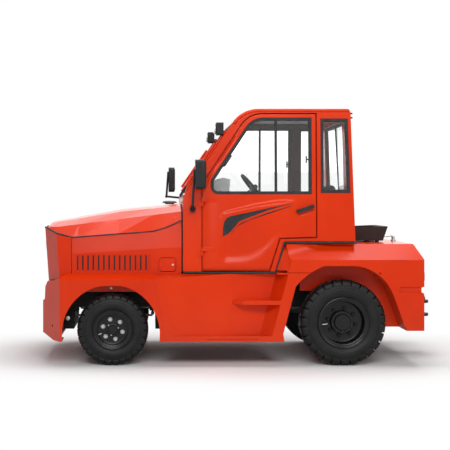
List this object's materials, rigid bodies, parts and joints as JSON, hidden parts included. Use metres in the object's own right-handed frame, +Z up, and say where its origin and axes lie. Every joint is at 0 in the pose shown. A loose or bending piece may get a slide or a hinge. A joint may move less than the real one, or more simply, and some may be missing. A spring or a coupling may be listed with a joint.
{
  "type": "diesel tow tractor",
  "caption": "Cab tow tractor with opening hood, doors and fuel flap, steered front wheels, open rear bin and a pin hitch for pulling carts.",
  "frame": {"origin": "on the ground under the centre of the tractor's box", "axes": "+X forward, +Y to the driver's left, +Z up"},
  "size_m": [3.386, 1.78, 2.124],
  "materials": {
    "paint": "gloss orange-red paint",
    "black_metal": "semi-gloss black paint",
    "rim_black": "gloss black paint",
    "cast_iron": "dark casting",
    "spring_steel": "dark steel",
    "zinc_steel": "galvanised",
    "rubber": "matte black rubber",
    "tyre": "matte black tread",
    "glass": "clear safety glass",
    "lamp_clear": "clear lens",
    "lamp_red": "red lens",
    "grille_black": "matte black",
    "bin_black": "matte black-brown",
    "grey_plastic": "matte grey",
    "seat_vinyl": "black vinyl"
  },
  "bodies": {
    "chassis": {"front_bumper": "paint", "side_sills": "paint", "rear_body": "paint", "nose_cowl": "paint", "engine_panels": "paint", "cab_sides": "paint", "cab_roof": "paint", "cab_rear_wall": "paint", "cab_front_wall": "paint", "grab_rails": "paint", "chassis_frame": "black_metal", "front_axle": "black_metal", "fuel_tank": "black_metal", "tow_hitch": "black_metal", "mirrors": "black_metal", "work_lamps": "black_metal", "wiper": "black_metal", "steering_column": "black_metal", "pedals": "black_metal", "seat_base": "black_metal", "cab_floor": "black_metal", "engine": "cast_iron", "gearbox": "cast_iron", "rear_axle": "cast_iron", "leaf_springs": "spring_steel", "propeller_shaft": "spring_steel", "radiator": "spring_steel", "tow_pin": "zinc_steel", "cab_mounts": "rubber", "window_seals": "rubber", "windscreen": "glass", "cab_glass": "glass", "headlamps": "lamp_clear", "tail_lamps": "lamp_red", "grille": "grille_black", "rear_bin": "bin_black", "dashboard": "grey_plastic", "seat_cushions": "seat_vinyl"},
    "hood": {"hood": "paint", "air_precleaner": "grey_plastic"},
    "left_door": {"left_door": "paint", "left_door_trim": "rubber", "left_door_glass": "glass"},
    "right_door": {"right_door": "paint", "right_door_trim": "rubber", "right_door_glass": "glass"},
    "fuel_flap": {"fuel_flap": "paint"},
    "left_knuckle": {"left_knuckle": "cast_iron"},
    "right_knuckle": {"right_knuckle": "cast_iron"},
    "tie_rod": {"tie_rod": "spring_steel"},
    "steering_wheel": {"steering_wheel": "grille_black"},
    "front_left_wheel": {"front_left_tyre": "tyre", "front_left_rim": "rim_black"},
    "front_right_wheel": {"front_right_tyre": "tyre", "front_right_rim": "rim_black"},
    "rear_left_wheel": {"rear_left_tyre": "tyre", "rear_left_rim": "rim_black"},
    "rear_right_wheel": {"rear_right_tyre": "tyre", "rear_right_rim": "rim_black"}
  },
  "joints": [
    {"name": "hood_hinge", "type": "hinge", "parent": "chassis", "child": "hood", "pos_m": [1.669, 0, 1.137], "axis": [0, 1, 0], "range_deg": [0, 55]},
    {"name": "left_door_hinge", "type": "hinge", "parent": "chassis", "child": "left_door", "pos_m": [0.36, 0.688, 1.1], "axis": [0, 0, -1], "range_deg": [0, 70]},
    {"name": "right_door_hinge", "type": "hinge", "parent": "chassis", "child": "right_door", "pos_m": [0.36, -0.688, 1.1], "axis": [0, 0, 1], "range_deg": [0, 70]},
    {"name": "fuel_flap_hinge", "type": "hinge", "parent": "chassis", "child": "fuel_flap", "pos_m": [0.7125, 0.646, 0.828], "axis": [0, 0, -1], "range_deg": [0, 100]},
    {"name": "left_steer", "type": "hinge", "parent": "chassis", "child": "left_knuckle", "pos_m": [1.098, 0.53, 0.295], "axis": [0, 0, 1], "range_deg": [-38, 38]},
    {"name": "right_steer", "type": "hinge", "parent": "chassis", "child": "right_knuckle", "pos_m": [1.098, -0.53, 0.295], "axis": [0, 0, 1], "range_deg": [-38, 38]},
    {"name": "tie_rod_pivot", "type": "hinge", "parent": "left_knuckle", "child": "tie_rod", "pos_m": [0.988, 0.53, 0.198], "axis": [0, 0, 1], "range_deg": [-38, 38]},
    {"name": "steering_wheel_turn", "type": "hinge", "parent": "chassis", "child": "steering_wheel", "pos_m": [-0.138, 0, 1.453], "axis": [-0.7771, 0, 0.6293], "range_deg": [-400, 400]},
    {"name": "front_left_spin", "type": "hinge", "parent": "left_knuckle", "child": "front_left_wheel", "pos_m": [1.098, 0.63, 0.295], "axis": [0, 1, 0], "continuous": true},
    {"name": "front_right_spin", "type": "hinge", "parent": "right_knuckle", "child": "front_right_wheel", "pos_m": [1.098, -0.63, 0.295], "axis": [0, 1, 0], "continuous": true},
    {"name": "rear_left_spin", "type": "hinge", "parent": "chassis", "child": "rear_left_wheel", "pos_m": [-0.802, 0.625, 0.353], "axis": [0, 1, 0], "continuous": true},
    {"name": "rear_right_spin", "type": "hinge", "parent": "chassis", "child": "rear_right_wheel", "pos_m": [-0.802, -0.625, 0.353], "axis": [0, 1, 0], "continuous": true}
  ],
  "couplings": [
    {"joint": "right_steer", "follows": "left_steer", "ratio": 1},
    {"joint": "tie_rod_pivot", "follows": "left_steer", "ratio": -1},
    {"joint": "steering_wheel_turn", "follows": "left_steer", "ratio": 10}
  ]
}
